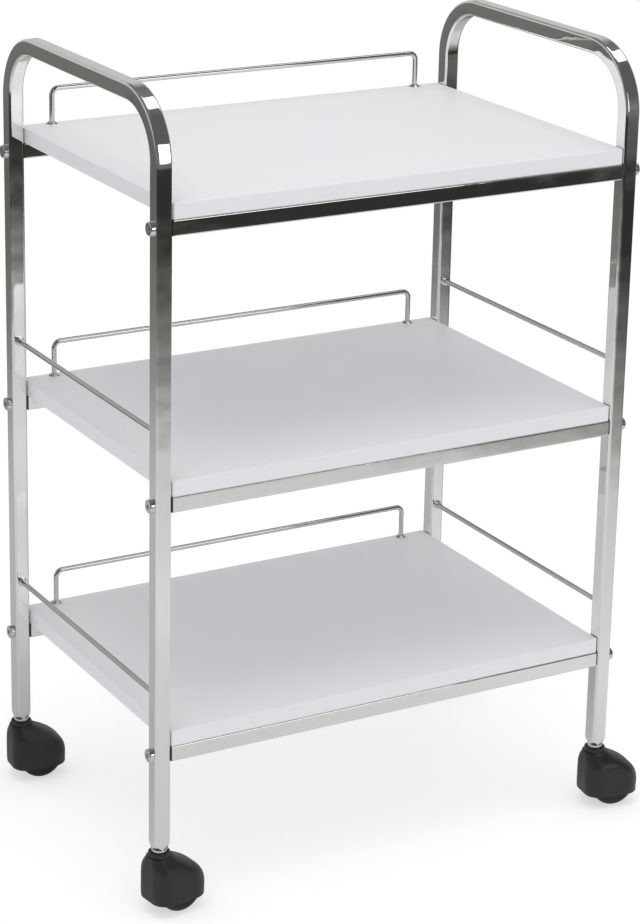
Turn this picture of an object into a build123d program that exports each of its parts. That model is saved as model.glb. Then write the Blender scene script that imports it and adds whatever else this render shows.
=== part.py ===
"""Three-tier rolling trolley: two bent tube side frames, six cross rails, three
white shelf boards, wire guards and four hooded swivel casters.

Millimetres. The origin is on the floor, below the middle of the whole trolley
with its casters trailing as they stand. +X runs along the rails to the right,
-Y is the front, +Z is up.
"""

import os

from build123d import *

# ---------------------------------------------------------------- frame sizes
frame_width = 508.0          # across the outer faces of the two side frames
frame_depth = 334.0          # across the front and rear faces of the posts
frame_height = 780.0         # floor to the top of the handles
tube_size = 16.0             # square tube of the side frames
tube_wall = 1.5
tube_corner = 3.0            # outer corner radius of that tube
handle_bend_radius = 57.0    # centre line of the two bends in each frame
post_end_above_wheels = 27.0 # wheel tops to where the post ends are swaged in
swage_length = 6.5           # height of the tapered post end
swage_size = 14.6            # width of the post end below the taper

# --------------------------------------------------------------- shelf levels
shelf_heights = {"bottom": 184.0, "middle": 428.0, "top": 684.0}
board_thickness = 15.0
board_corner = 2.0           # plan radius of the board corners
board_edge = 0.8             # rounding of the board's top and bottom edges
board_side_gap = 0.8         # board end to the inner face of a side frame
board_front_recess = 1.0     # board edge behind the front and rear tube faces

# ---------------------------------------------------------------------- rails
rail_size = 15.0
rail_wall = 1.2
rail_corner = 2.0
plug_flange = 2.0            # thickness of the collar between rail and post
plug_length = 12.0           # part of the plug that is inside the rail
plug_clearance = 0.1
nut_length = 8.0

# ---------------------------------------------------------------- frame bolts
bolt_diameter = 6.0
bolt_head_diameter = 13.0
bolt_head_height = 4.6
bolt_head_round = 1.4
bolt_hole_clearance = 0.2    # on the radius, through the post
bolt_past_nut = 2.0
hex_key_size = 4.0
hex_key_depth = 2.4

# --------------------------------------------------------------- board screws
screw_diameter = 4.0
screw_head_diameter = 8.0
screw_head_height = 2.6
screw_bite = 10.0            # length of the thread inside the board
screw_inset = 70.0           # from the inner face of a side frame
screw_clearance = 0.05       # on the radius, in the board and the rail's upper wall
screw_access_clearance = 0.6 # on the radius, round the head in the rail's lower wall

# --------------------------------------------------------------- guard wires
wire_diameter = 5.0
wire_bend_radius = 7.0       # centre line
guard_wire_rise = 35.0       # board top to the centre line of the rear wire
guard_wire_inset = 32.5      # wire leg to the inner face of a side frame
guard_wire_seat = 9.0        # length of a leg inside the board
wire_hole_clearance = 0.05
rosette_diameter = 12.0
rosette_height = 2.4         # above the board
rosette_seat_depth = 0.4     # depth of its shallow seat in the board
rosette_seat_clearance = 0.1 # on the radius, round the rosette in its seat
rod_rise = {"bottom": 33.0, "middle": 43.0}   # board top to the side rod
rod_seat = 5.0               # length of a rod end inside its post
ferrule_diameter = 9.0
ferrule_length = 3.0

# -------------------------------------------------------------------- casters
stem_diameter = 8.0
stem_height = 36.0           # length of the stem inside its socket
stem_clearance = 0.05        # on the radius
socket_diameter = 11.0
socket_length = 42.0         # sleeve above the flange
socket_flange_diameter = 15.4
socket_flange_height = 4.2
ring_groove_depth = 0.8
ring_width = 2.0
ring_from_top = 6.0
swivel_gap = 0.3             # hood boss to the socket flange
wheel_radius = 22.5
wheel_width = 14.5
wheel_shoulder_share = 0.31  # rounding of the outer tread edge, of the wheel radius
wheel_bore_clearance = 0.05
hub_radius = 7.0
wheel_trail = 17.5           # stem axis to wheel axis
axle_diameter = 6.0
web_thickness = 4.0          # middle wall of the hood, which holds the axle
wheel_gap = 0.6              # wheel to the middle wall
wheel_well_clearance = 1.6   # around the tread
hood_wall = 2.2
hood_back_clearance = 1.0    # behind the wheel well, inside the wall
hood_side_clearance = 2.6    # beside the wheels, inside the wall
hood_front_overhang = 2.4    # in front of the boss
hood_top_below_seat = 3.4    # stem's seat to the top of the hood's smooth form
hood_rim_height = 13.5       # floor to the lower edge of the hood
boss_diameter = 21.0
boss_height = 8.0            # length of the stem's hold in the boss
boss_recess_clearance = 0.8  # round the socket flange, in the top of the boss
boss_recess_depth = 1.5
# Each caster's trailing direction, turned from +X about its stem.
trail_angles = {"front_left": 8.0, "front_right": -9.0, "rear_left": -4.0, "rear_right": 0.0}

# --------------------------------------------------------------- dependent sizes
post_x = (frame_width - tube_size) / 2
post_y = (frame_depth - tube_size) / 2
inner_x = frame_width / 2 - tube_size
inner_y = frame_depth / 2 - tube_size
square_end_height = 2 * wheel_radius + post_end_above_wheels
swage_end_height = square_end_height - swage_length
flange_bottom = swage_end_height - socket_flange_height
boss_seat = flange_bottom - swivel_gap
wheel_outer_face = web_thickness / 2 + wheel_gap + wheel_width
wheel_shoulder = wheel_shoulder_share * wheel_radius
hood_back = wheel_trail + wheel_radius + wheel_well_clearance + hood_back_clearance + hood_wall
left_reach = frame_width / 2 + bolt_head_height
right_reach = post_x + hood_back
middle_x = (right_reach - left_reach) / 2
side_signs = {"left": -1, "right": 1}
end_signs = {"front": -1, "rear": 1}


def rail_centre_height(tier):
    """Floor to the centre line of the rails that carry a board."""
    return shelf_heights[tier] - board_thickness - rail_size / 2


def square_tube_section(size, wall, corner):
    """A square tube's section, with rounded corners inside and out."""
    outer = RectangleRounded(size, size, corner)
    inner = RectangleRounded(size - 2 * wall, size - 2 * wall, max(corner - wall, 0.4))
    return outer - inner


def round_bar(diameter, start, end):
    """A round bar between two points."""
    start = Vector(*start)
    run = Vector(*end) - start
    return extrude(Plane(origin=start, z_dir=run) * Circle(diameter / 2), run.length)


def write_node(name, *solids):
    """One node's file; several solids are kept apart as a group.

    The pieces are drawn about the middle of the frame, and the casters reach
    further to the right, so everything is moved to the middle of the whole.
    """
    shapes = [solid for shape in solids for solid in shape.solids()]
    shapes = [Pos(-middle_x, 0, 0) * shape for shape in shapes]
    node = shapes[0] if len(shapes) == 1 else Compound(children=shapes)
    export_step(node, f"parts/{name}.step")


# ---------------------------------------------------------------- side frames
def bolt_ends(side, end, tier):
    """Where a frame bolt's shank leaves its head, and its tip."""
    sign = side_signs[side]
    y = end_signs[end] * post_y
    z = rail_centre_height(tier)
    reach = tube_size + plug_flange + plug_length + nut_length + bolt_past_nut
    return (sign * frame_width / 2, y, z), (sign * (frame_width / 2 - reach), y, z)


def side_frame(side):
    """One tube bent into an inverted U, with swaged ends and drilled posts."""
    x = side_signs[side] * post_x
    crown = frame_height - tube_size / 2
    path = FilletPolyline(
        (x, -post_y, square_end_height),
        (x, -post_y, crown),
        (x, post_y, crown),
        (x, post_y, square_end_height),
        radius=handle_bend_radius,
    )
    start = Plane(origin=(x, -post_y, square_end_height), x_dir=(1, 0, 0), z_dir=(0, 0, 1))
    frame = sweep(start * square_tube_section(tube_size, tube_wall, tube_corner), path=path)
    for end in end_signs:
        frame += swaged_end(x, end_signs[end] * post_y)
    for tier in shelf_heights:
        for end in end_signs:
            head_seat = bolt_ends(side, end, tier)[0]
            inner_face = (side_signs[side] * inner_x, head_seat[1], head_seat[2])
            frame -= round_bar(bolt_diameter + 2 * bolt_hole_clearance, head_seat, inner_face)
    for tier in rod_rise:
        front, rear = rod_ends(side, tier)
        frame -= round_bar(wire_diameter + 2 * wire_hole_clearance, front, rear)
    return frame


def swaged_end(x, y):
    """The tapered lower end of a post, bored for the caster's socket."""
    upper = Plane.XY.offset(square_end_height) * RectangleRounded(tube_size, tube_size, tube_corner)
    lower = Plane.XY.offset(swage_end_height) * RectangleRounded(
        swage_size, swage_size, swage_size / 2 - 0.4
    )
    taper = loft([lower, upper], ruled=True)
    bore = Pos(0, 0, swage_end_height) * Cylinder(
        socket_diameter / 2, swage_length, align=(Align.CENTER, Align.CENTER, Align.MIN)
    )
    return Pos(x, y, 0) * (taper - bore)


# ---------------------------------------------------------- rails and fixings
def rail(end, tier):
    """A cross rail, cut short of the posts by the two plug collars."""
    length = 2 * (inner_x - plug_flange)
    section = square_tube_section(rail_size, rail_wall, rail_corner)
    start = Plane(origin=(-length / 2, 0, 0), x_dir=(0, 1, 0), z_dir=(1, 0, 0))
    y = end_signs[end] * post_y
    body = Pos(0, y, rail_centre_height(tier)) * extrude(start * section, length)
    top = shelf_heights[tier] - board_thickness
    for x in screw_positions():
        thread_hole = screw_diameter + 2 * screw_clearance
        access_hole = screw_head_diameter + 2 * screw_access_clearance
        body -= round_bar(thread_hole, (x, y, top - rail_size / 2), (x, y, top))
        body -= round_bar(access_hole, (x, y, top - rail_size), (x, y, top - rail_size / 2))
    return body


def rail_end(side, end, tier):
    """A plane at the post's inner face, with Z pointing into the rail."""
    sign = side_signs[side]
    origin = (sign * inner_x, end_signs[end] * post_y, rail_centre_height(tier))
    return Plane(origin=origin, x_dir=(0, 1, 0), z_dir=(-sign, 0, 0))


def end_plug(side, end, tier):
    """The plastic plug in a rail's end, with a collar against the post."""
    plane = rail_end(side, end, tier)
    collar = extrude(plane * RectangleRounded(rail_size, rail_size, rail_corner), plug_flange)
    inner = rail_size - 2 * (rail_wall + plug_clearance)
    shank = extrude(plane.offset(plug_flange) * RectangleRounded(inner, inner, 0.6), plug_length)
    hole = extrude(plane * Circle(bolt_diameter / 2 + bolt_hole_clearance), plug_flange + plug_length)
    return collar + shank - hole


def rail_nut(side, end, tier):
    """The square nut that sits in the rail behind its plug."""
    plane = rail_end(side, end, tier).offset(plug_flange + plug_length)
    inner = rail_size - 2 * (rail_wall + plug_clearance)
    block = extrude(plane * RectangleRounded(inner, inner, 0.6), nut_length)
    return block - extrude(plane * Circle(bolt_diameter / 2 + screw_clearance), nut_length)


def frame_bolt(side, end, tier):
    """A round-edged bolt head with a hex socket, and its shank."""
    seat, tip = bolt_ends(side, end, tier)
    sign = side_signs[side]
    plane = Plane(origin=seat, x_dir=(0, 1, 0), z_dir=(sign, 0, 0))
    head = extrude(plane * Circle(bolt_head_diameter / 2), bolt_head_height)
    rim = head.edges().filter_by(GeomType.CIRCLE).sort_by(Axis.X)[-1 if sign > 0 else 0]
    head = fillet(rim, bolt_head_round)
    key = RegularPolygon(hex_key_size / 2, 6, major_radius=False)
    head -= extrude(plane.offset(bolt_head_height) * key, -hex_key_depth)
    return head + round_bar(bolt_diameter, seat, tip)


# --------------------------------------------------------------------- boards
def screw_positions():
    """X places of the board screws along a rail."""
    return [-inner_x + screw_inset, inner_x - screw_inset]


def guard_leg_positions():
    """X places of the two legs of a rear guard wire."""
    return [-inner_x + guard_wire_inset, inner_x - guard_wire_inset]


def shelf_board(tier):
    """A laminated board that lies on the front and rear rails."""
    length = 2 * (inner_x - board_side_gap)
    depth = frame_depth - 2 * board_front_recess
    top = shelf_heights[tier]
    plan = Plane.XY.offset(top - board_thickness) * RectangleRounded(length, depth, board_corner)
    board = extrude(plan, board_thickness)
    faces = board.faces().sort_by(Axis.Z)
    board = fillet(faces[0].edges() + faces[-1].edges(), board_edge)
    underside = top - board_thickness
    for y in (-post_y, post_y):
        for x in screw_positions():
            hole = screw_diameter + 2 * screw_clearance
            board -= round_bar(hole, (x, y, underside), (x, y, underside + screw_bite + 0.5))
    for x in guard_leg_positions():
        hole = wire_diameter + 2 * wire_hole_clearance
        seat = rosette_diameter + 2 * rosette_seat_clearance
        board -= round_bar(hole, (x, post_y, top - guard_wire_seat - 0.3), (x, post_y, top))
        board -= round_bar(seat, (x, post_y, top - rosette_seat_depth), (x, post_y, top))
    return board


def board_screw(x, y, tier):
    """A pan-head screw: its head is inside a rail, its thread in the board."""
    seat = shelf_heights[tier] - board_thickness - rail_wall
    head = Pos(x, y, seat - screw_head_height) * Cylinder(
        screw_head_diameter / 2, screw_head_height, align=(Align.CENTER, Align.CENTER, Align.MIN)
    )
    head = fillet(head.edges().filter_by(GeomType.CIRCLE).sort_by(Axis.Z)[0], 1.2)
    return head + round_bar(screw_diameter, (x, y, seat), (x, y, seat + rail_wall + screw_bite))


# --------------------------------------------------------------------- guards
def rear_guard_wire(tier):
    """A wire hoop whose two legs stand in the board near its rear edge."""
    left, right = guard_leg_positions()
    top = shelf_heights[tier]
    foot = top - guard_wire_seat
    path = FilletPolyline(
        (left, post_y, foot),
        (left, post_y, top + guard_wire_rise),
        (right, post_y, top + guard_wire_rise),
        (right, post_y, foot),
        radius=wire_bend_radius,
    )
    start = Plane(origin=(left, post_y, foot), z_dir=(0, 0, 1))
    return sweep(start * Circle(wire_diameter / 2), path=path)


def rosette(x, tier):
    """The cone-edged collar where a guard wire's leg enters the board."""
    stand = (Align.CENTER, Align.CENTER, Align.MIN)
    skirt = Cone(rosette_diameter / 2, wire_diameter / 2 + 1.2, rosette_height, align=stand)
    foot = Pos(0, 0, -rosette_seat_depth) * Cylinder(
        rosette_diameter / 2, rosette_seat_depth, align=stand
    )
    whole_height = rosette_seat_depth + rosette_height
    hole = Pos(0, 0, -rosette_seat_depth) * Cylinder(
        wire_diameter / 2 + wire_hole_clearance, whole_height, align=stand
    )
    return Pos(x, post_y, shelf_heights[tier]) * (skirt + foot - hole)


def rod_ends(side, tier):
    """The two ends of a side guard rod, inside the front and rear posts."""
    x = side_signs[side] * post_x
    z = shelf_heights[tier] + rod_rise[tier]
    y = inner_y + rod_seat
    return (x, -y, z), (x, y, z)


def guard_rod(side, tier):
    """A straight rod from the front post to the rear post."""
    front, rear = rod_ends(side, tier)
    return round_bar(wire_diameter, front, rear)


def rod_ferrule(side, end, tier):
    """The collar round a side rod where it enters a post."""
    x = side_signs[side] * post_x
    z = shelf_heights[tier] + rod_rise[tier]
    sign = end_signs[end]
    plane = Plane(origin=(x, sign * inner_y, z), z_dir=(0, -sign, 0))
    collar = extrude(plane * Circle(ferrule_diameter / 2), ferrule_length)
    edge = collar.edges().filter_by(GeomType.CIRCLE).sort_by(Axis.Y)[0 if sign > 0 else -1]
    collar = fillet(edge, 0.8)
    return collar - extrude(plane * Circle(wire_diameter / 2 + wire_hole_clearance), ferrule_length)


# -------------------------------------------------------------------- casters
# Each caster is drawn with its stem on the Z axis and the wheels trailing
# towards +X, then turned and moved below its post.

# Plan outlines of the hood, from its lower rim up to the foot of its boss, as
# shares of its greatest sizes: height, front, back, half width, and the two
# corner radii, which are shares of the outline's own half width.
hood_stations = [
    (0.00, 0.96, 1.00, 0.99, 0.66, 0.80),
    (0.28, 1.00, 1.00, 1.00, 0.68, 0.79),
    (0.53, 1.00, 0.92, 0.99, 0.68, 0.78),
    (0.74, 0.97, 0.70, 0.92, 0.67, 0.77),
    (0.90, 0.93, 0.42, 0.67, 0.74, 0.78),
    (1.00, 0.88, 0.28, 0.51, 0.77, 0.81),
]


def hood_form(inset):
    """The hood's smooth outer form, or the same form inset by a wall."""
    rise = boss_seat - hood_top_below_seat - hood_rim_height
    front = boss_diameter / 2 + hood_front_overhang
    half_width = wheel_outer_face + hood_side_clearance + hood_wall
    sections = []
    for up, ahead, behind, aside, front_corner, back_corner in hood_stations:
        length = ahead * front + behind * hood_back - 2 * inset
        width = 2 * (aside * half_width - inset)
        outline = Pos((behind * hood_back - ahead * front) / 2, 0) * Rectangle(length, width)
        ends = outline.vertices().group_by(Axis.X)
        outline = fillet(ends[0], front_corner * aside * half_width - inset)
        ends = outline.vertices().group_by(Axis.X)
        outline = fillet(ends[-1], back_corner * aside * half_width - inset)
        sections.append(Pos(0, 0, hood_rim_height + up * rise - inset) * outline)
    return loft(sections)


def wheel_well():
    """The space for both wheels, open below, kept inside the hood's wall."""
    stand = (Align.CENTER, Align.CENTER, Align.MIN)
    radius = wheel_radius + wheel_well_clearance
    width = 2 * (wheel_outer_face + wheel_gap)
    below_axle = Box(2 * radius, width, wheel_radius, align=stand)
    well = Pos(wheel_trail, 0, wheel_radius) * Rot(90, 0, 0) * Cylinder(radius, width)
    well += Pos(wheel_trail, 0, 0) * below_axle
    mouth = Pos(wheel_trail, 0, 0) * Box(2 * radius, width, hood_rim_height, align=stand)
    return well & (hood_form(hood_wall) + mouth)


def caster_hood():
    """The moulded hood: a boss on top, wheel wells and a middle wall inside."""
    stand = (Align.CENTER, Align.CENTER, Align.MIN)
    foot = boss_seat - boss_height
    boss = Pos(0, 0, foot) * Cylinder(boss_diameter / 2, boss_height + boss_recess_depth, align=stand)
    boss = fillet(boss.edges().filter_by(GeomType.CIRCLE).sort_by(Axis.Z)[-1], 1.2)
    recess_radius = socket_flange_diameter / 2 + boss_recess_clearance
    boss -= Pos(0, 0, boss_seat) * Cylinder(recess_radius, boss_recess_depth, align=stand)
    web_length = 2 * (wheel_radius + wheel_well_clearance + 1)
    web = Box(web_length, web_thickness, 2 * wheel_radius, align=stand)
    web = Pos(wheel_trail, 0, hood_rim_height) * web
    hood = hood_form(0) + boss - (wheel_well() - web)
    axle_hole = Rot(90, 0, 0) * Cylinder(axle_diameter / 2, web_thickness + 2)
    hood -= Pos(wheel_trail, 0, wheel_radius) * axle_hole
    hood -= Pos(0, 0, foot) * Cylinder(stem_diameter / 2, boss_height, align=stand)
    return hood


def caster_stem():
    """The steel stem: its foot is moulded into the boss, its top is grooved."""
    foot = boss_seat - boss_height
    top = flange_bottom + stem_height
    stem = round_bar(stem_diameter, (0, 0, foot), (0, 0, top))
    stem = fillet(stem.edges().filter_by(GeomType.CIRCLE).sort_by(Axis.Z)[-1], 1.2)
    groove_low = top - ring_from_top
    groove = Pos(0, 0, groove_low) * Cylinder(
        stem_diameter, ring_width, align=(Align.CENTER, Align.CENTER, Align.MIN)
    )
    core = Cylinder(stem_diameter / 2 - ring_groove_depth, 3 * top)
    return stem - (groove - core)


def stem_ring():
    """The split spring ring in the stem's groove, which holds it in its socket."""
    low = flange_bottom + stem_height - ring_from_top + 0.1
    stand = (Align.CENTER, Align.CENTER, Align.MIN)
    outer = Cylinder(stem_diameter / 2 - 0.1, ring_width - 0.2, align=stand)
    inner = Cylinder(stem_diameter / 2 - ring_groove_depth, ring_width - 0.2, align=stand)
    split = Pos(stem_diameter / 2, 0, 0) * Box(stem_diameter, 1.6, ring_width, align=stand)
    return Pos(0, 0, low) * (outer - inner - split)


def stem_socket():
    """The flanged steel sleeve pressed into a post's lower end."""
    stand = (Align.CENTER, Align.CENTER, Align.MIN)
    flange = Pos(0, 0, flange_bottom) * Cylinder(
        socket_flange_diameter / 2, socket_flange_height, align=stand)
    flange = fillet(flange.edges().filter_by(GeomType.CIRCLE), 0.7)
    sleeve = Pos(0, 0, swage_end_height) * Cylinder(socket_diameter / 2, socket_length, align=stand)
    bore = Pos(0, 0, flange_bottom) * Cylinder(
        stem_diameter / 2 + stem_clearance, socket_flange_height + socket_length - 2, align=stand)
    return flange + sleeve - bore


def wheel_axle():
    """The pin held in the hood's middle wall, with a wheel on each end."""
    half = wheel_outer_face - 1.0
    front = (wheel_trail, -half, wheel_radius)
    rear = (wheel_trail, half, wheel_radius)
    return round_bar(axle_diameter, front, rear)


def caster_wheel(sign):
    """A moulded wheel, rounded at its outer tread edge and hollowed on the web side."""
    inner_face = sign * (web_thickness / 2 + wheel_gap)
    plane = Plane(origin=(wheel_trail, inner_face, wheel_radius), x_dir=(1, 0, 0), z_dir=(0, sign, 0))
    wheel = extrude(plane * Circle(wheel_radius), wheel_width)
    rims = wheel.edges().filter_by(GeomType.CIRCLE).sort_by(Axis.Y)
    outer_rim, inner_rim = (rims[-1], rims[0]) if sign > 0 else (rims[0], rims[-1])
    wheel = fillet(outer_rim, wheel_shoulder)
    inner_rim = wheel.edges().filter_by(GeomType.CIRCLE).sort_by(Axis.Y)[0 if sign > 0 else -1]
    wheel = fillet(inner_rim, 1.0)
    recess = Circle(wheel_radius - wheel_shoulder - 2) - Circle(hub_radius)
    wheel -= extrude(plane * recess, wheel_width - 4.0)
    bore = Circle(axle_diameter / 2 + wheel_bore_clearance)
    return wheel - extrude(plane * bore, wheel_width - 0.8)


def below_post(corner, shape):
    """Turn a caster piece to its trailing angle and move it below its post."""
    end, side = corner.split("_")
    place = Pos(side_signs[side] * post_x, end_signs[end] * post_y, 0)
    return place * Rot(0, 0, trail_angles[corner]) * shape


# ------------------------------------------------------------------ the build
def build_frame():
    tiers = list(shelf_heights)
    ends = list(end_signs)
    for side in side_signs:
        write_node(f"{side}_side_frame", side_frame(side))
        write_node(f"{side}_frame_bolts", *[frame_bolt(side, e, t) for t in tiers for e in ends])
    corners = [(s, e) for s in side_signs for e in ends]
    for tier in tiers:
        for end in ends:
            write_node(f"{tier}_{end}_rail", rail(end, tier))
        write_node(f"{tier}_rail_end_plugs", *[end_plug(s, e, tier) for s, e in corners])
    write_node("rail_nuts", *[rail_nut(s, e, t) for t in tiers for s, e in corners])


def build_shelves():
    for tier in shelf_heights:
        write_node(f"{tier}_shelf_board", shelf_board(tier))
        places = [(x, y) for x in screw_positions() for y in (-post_y, post_y)]
        write_node(f"{tier}_board_screws", *[board_screw(x, y, tier) for x, y in places])


def build_guards():
    for tier in shelf_heights:
        write_node(f"{tier}_rear_guard_wire", rear_guard_wire(tier))
    legs = [(x, t) for t in shelf_heights for x in guard_leg_positions()]
    write_node("guard_wire_rosettes", *[rosette(x, t) for x, t in legs])
    for tier in rod_rise:
        for side in side_signs:
            write_node(f"{tier}_{side}_guard_rod", guard_rod(side, tier))
    places = [(s, e, t) for t in rod_rise for s in side_signs for e in end_signs]
    write_node("guard_rod_ferrules", *[rod_ferrule(s, e, t) for s, e, t in places])


def build_casters():
    hood = caster_hood()
    stem = caster_stem()
    ring = stem_ring()
    axle = wheel_axle()
    front_wheel = caster_wheel(-1)
    rear_wheel = caster_wheel(1)
    for corner in trail_angles:
        write_node(f"{corner}_caster_hood", below_post(corner, hood))
        write_node(f"{corner}_caster_stem", below_post(corner, stem))
        write_node(f"{corner}_stem_ring", below_post(corner, ring))
        write_node(f"{corner}_caster_axle", below_post(corner, axle))
        write_node(f"{corner}_caster_wheel_front", below_post(corner, front_wheel))
        write_node(f"{corner}_caster_wheel_rear", below_post(corner, rear_wheel))
    socket = stem_socket()
    write_node("caster_stem_sockets", *[below_post(corner, socket) for corner in trail_angles])


os.makedirs("parts", exist_ok=True)
build_frame()
build_shelves()
build_guards()
build_casters()
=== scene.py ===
# Three-tier rolling trolley: chromed tube sides, white boards, wire guards, hooded casters.
import math

import bmesh
import bpy
from mathutils import Euler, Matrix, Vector


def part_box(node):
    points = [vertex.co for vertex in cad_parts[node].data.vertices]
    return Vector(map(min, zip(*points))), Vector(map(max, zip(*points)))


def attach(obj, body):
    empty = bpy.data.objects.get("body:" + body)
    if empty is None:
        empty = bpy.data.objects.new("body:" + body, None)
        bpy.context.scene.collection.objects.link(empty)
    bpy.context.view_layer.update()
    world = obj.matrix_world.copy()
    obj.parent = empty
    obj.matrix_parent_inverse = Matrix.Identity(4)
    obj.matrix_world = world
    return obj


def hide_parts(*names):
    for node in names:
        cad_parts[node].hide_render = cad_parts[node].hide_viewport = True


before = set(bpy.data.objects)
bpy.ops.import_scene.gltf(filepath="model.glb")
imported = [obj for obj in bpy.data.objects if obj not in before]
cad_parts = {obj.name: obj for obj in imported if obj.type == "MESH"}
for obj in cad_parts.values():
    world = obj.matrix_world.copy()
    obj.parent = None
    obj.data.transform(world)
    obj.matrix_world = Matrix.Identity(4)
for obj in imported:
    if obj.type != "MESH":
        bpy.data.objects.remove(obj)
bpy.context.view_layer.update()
print("frame loaded")

mm = 0.001
mainBody = "cart_frame"
tiers = ["bottom", "middle", "top"]
sides = {"left": -1, "right": 1}


# shader helpers

def addNode(tree, kind, **settings):
    node = tree.nodes.new(kind)
    for name, value in settings.items():
        setattr(node, name, value)
    return node


def gray(value):
    return (value, value, value, 1)


def newEffect(name, inputs, outputs):
    # a node group with named inputs and outputs, ready to be filled
    tree = bpy.data.node_groups.new(name, "ShaderNodeTree")
    kinds = {"value": "NodeSocketFloat", "color": "NodeSocketColor", "vector": "NodeSocketVector"}
    for label, kind, value in inputs:
        socket = tree.interface.new_socket(label, in_out="INPUT", socket_type=kinds[kind])
        if value is not None:
            socket.default_value = value
    for label, kind in outputs:
        tree.interface.new_socket(label, in_out="OUTPUT", socket_type=kinds[kind])
    return tree, tree.nodes.new("NodeGroupInput"), tree.nodes.new("NodeGroupOutput")


def noiseNode(tree, vector, scale, detail=3.0, roughness=0.55):
    node = addNode(tree, "ShaderNodeTexNoise")
    node.inputs["Detail"].default_value = detail
    node.inputs["Roughness"].default_value = roughness
    if isinstance(scale, (int, float)):
        node.inputs["Scale"].default_value = scale
    else:
        tree.links.new(scale, node.inputs["Scale"])
    tree.links.new(vector, node.inputs["Vector"])
    return node


def mapRange(tree, value, fromMin, fromMax, toMin=0.0, toMax=1.0):
    # the limits may be numbers or sockets
    node = addNode(tree, "ShaderNodeMapRange")
    limits = {"From Min": fromMin, "From Max": fromMax, "To Min": toMin, "To Max": toMax}
    for label, limit in limits.items():
        if isinstance(limit, (int, float)):
            node.inputs[label].default_value = limit
        else:
            tree.links.new(limit, node.inputs[label])
    tree.links.new(value, node.inputs["Value"])
    return node.outputs["Result"]


def mathNode(tree, operation, first, second):
    node = addNode(tree, "ShaderNodeMath", operation=operation)
    for socket, value in zip(node.inputs, (first, second)):
        if isinstance(value, (int, float)):
            socket.default_value = value
        else:
            tree.links.new(value, socket)
    return node.outputs[0]


def mixColor(tree, factor, first, second):
    node = addNode(tree, "ShaderNodeMix", data_type="RGBA")
    tree.links.new(factor, node.inputs["Factor"])
    for label, value in (("A", first), ("B", second)):
        socket = [s for s in node.inputs if s.name == label and s.type == "RGBA"][0]
        if isinstance(value, (tuple, list)):
            socket.default_value = value
        else:
            tree.links.new(value, socket)
    return [s for s in node.outputs if s.type == "RGBA"][0]


# effects shared by several materials

def buildPolishEffect():
    # plated metal: faint waves left by polishing, and a haze of handling marks in patches
    tree, source, result = newEffect(
        "platedPolish",
        [("Vector", "vector", None), ("Base", "color", gray(0.6)), ("Haze", "color", gray(0.5)),
         ("Wave Scale", "value", 22.0), ("Wave Height", "value", 0.3),
         ("Smooth", "value", 0.04), ("Worn", "value", 0.12)],
        [("Color", "color"), ("Roughness", "value"), ("Height", "value")])
    vector = source.outputs["Vector"]
    waves = noiseNode(tree, vector, source.outputs["Wave Scale"], detail=1.5, roughness=0.4)
    marks = noiseNode(tree, vector, scale=95.0, detail=5.0, roughness=0.7)
    patches = noiseNode(tree, vector, scale=9.0, detail=3.0, roughness=0.6)
    markMask = mapRange(tree, marks.outputs["Fac"], fromMin=0.56, fromMax=0.74)
    patchMask = mapRange(tree, patches.outputs["Fac"], fromMin=0.45, fromMax=0.7)
    worn = mathNode(tree, "MULTIPLY", markMask, patchMask)
    color = mixColor(tree, worn, source.outputs["Base"], source.outputs["Haze"])
    roughness = mapRange(tree, worn, 0.0, 1.0, source.outputs["Smooth"], source.outputs["Worn"])
    height = mathNode(tree, "MULTIPLY", waves.outputs["Fac"], source.outputs["Wave Height"])
    tree.links.new(color, result.inputs["Color"])
    tree.links.new(roughness, result.inputs["Roughness"])
    tree.links.new(height, result.inputs["Height"])
    return tree


def buildGrainEffect():
    # moulded plastic and laminate: fine pebble grain and a cloudy tone
    tree, source, result = newEffect(
        "fineGrain",
        [("Vector", "vector", None), ("Base", "color", gray(0.5)), ("Tone", "color", gray(0.45)),
         ("Grain Scale", "value", 900.0), ("Cloud Scale", "value", 14.0),
         ("Smooth", "value", 0.4), ("Rough", "value", 0.55)],
        [("Color", "color"), ("Roughness", "value"), ("Height", "value")])
    vector = source.outputs["Vector"]
    grain = noiseNode(tree, vector, source.outputs["Grain Scale"], detail=2.0, roughness=0.5)
    clouds = noiseNode(tree, vector, source.outputs["Cloud Scale"], detail=4.0, roughness=0.6)
    cloudMask = mapRange(tree, clouds.outputs["Fac"], fromMin=0.35, fromMax=0.68)
    color = mixColor(tree, cloudMask, source.outputs["Base"], source.outputs["Tone"])
    mixed = mathNode(tree, "MULTIPLY", cloudMask, grain.outputs["Fac"])
    roughness = mapRange(tree, mixed, 0.0, 0.7, source.outputs["Smooth"], source.outputs["Rough"])
    tree.links.new(color, result.inputs["Color"])
    tree.links.new(roughness, result.inputs["Roughness"])
    tree.links.new(grain.outputs["Fac"], result.inputs["Height"])
    return tree


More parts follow.
